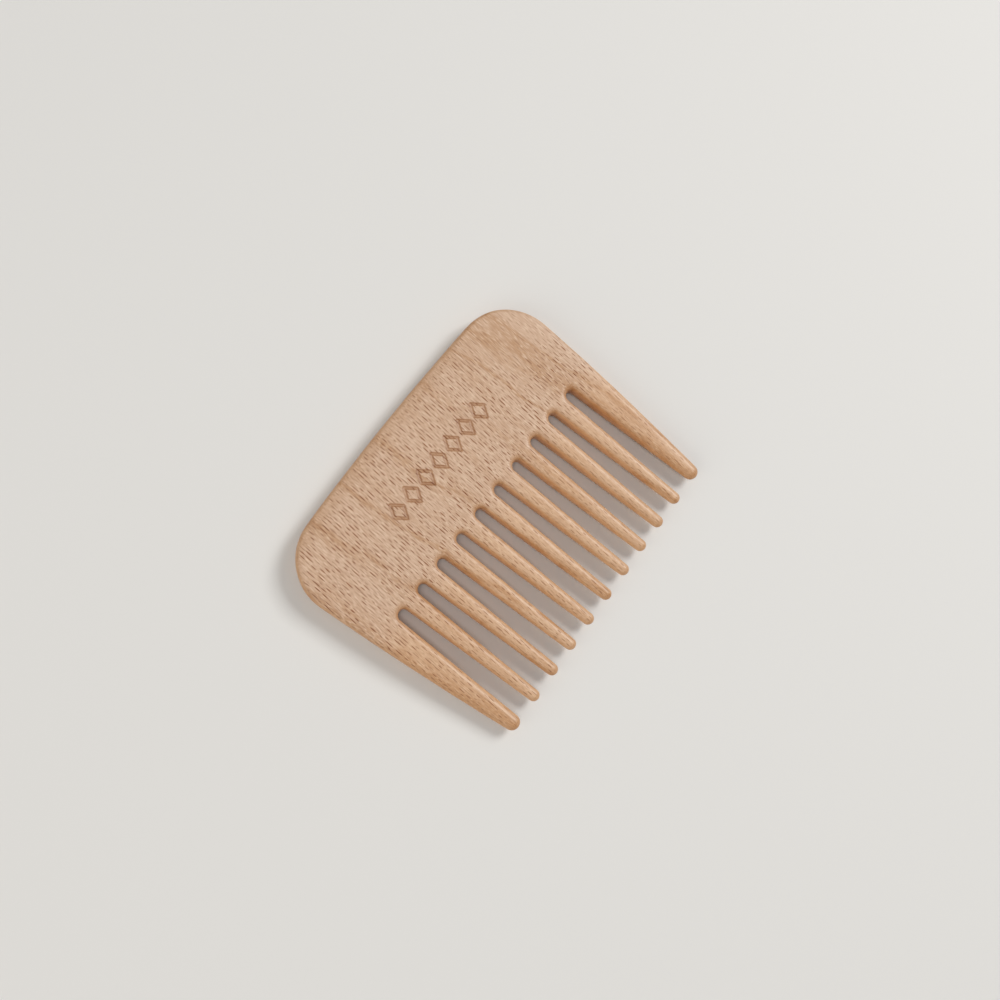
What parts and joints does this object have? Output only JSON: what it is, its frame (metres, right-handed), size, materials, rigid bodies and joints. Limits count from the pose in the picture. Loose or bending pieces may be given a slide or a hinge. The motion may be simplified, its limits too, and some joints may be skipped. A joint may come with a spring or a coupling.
{
  "type": "hair comb",
  "caption": "Flat wide-tooth wooden hair comb with a rounded back, even tapered teeth, two broad outer teeth and a bevelled spine.",
  "frame": {"origin": "on the back face, under the middle of the comb's outline, so the comb lies on the surface z = 0", "axes": "+X along the spine, +Y from the tooth tips to the spine, +Z out of the front face through the thickness"},
  "size_m": [0.1114, 0.087, 0.0076],
  "materials": {
    "beech": "oiled satin beech, fine-sanded, with short darker ray flecks along the teeth"
  },
  "bodies": {
    "root": {"comb": "beech"}
  },
  "joints": []
}
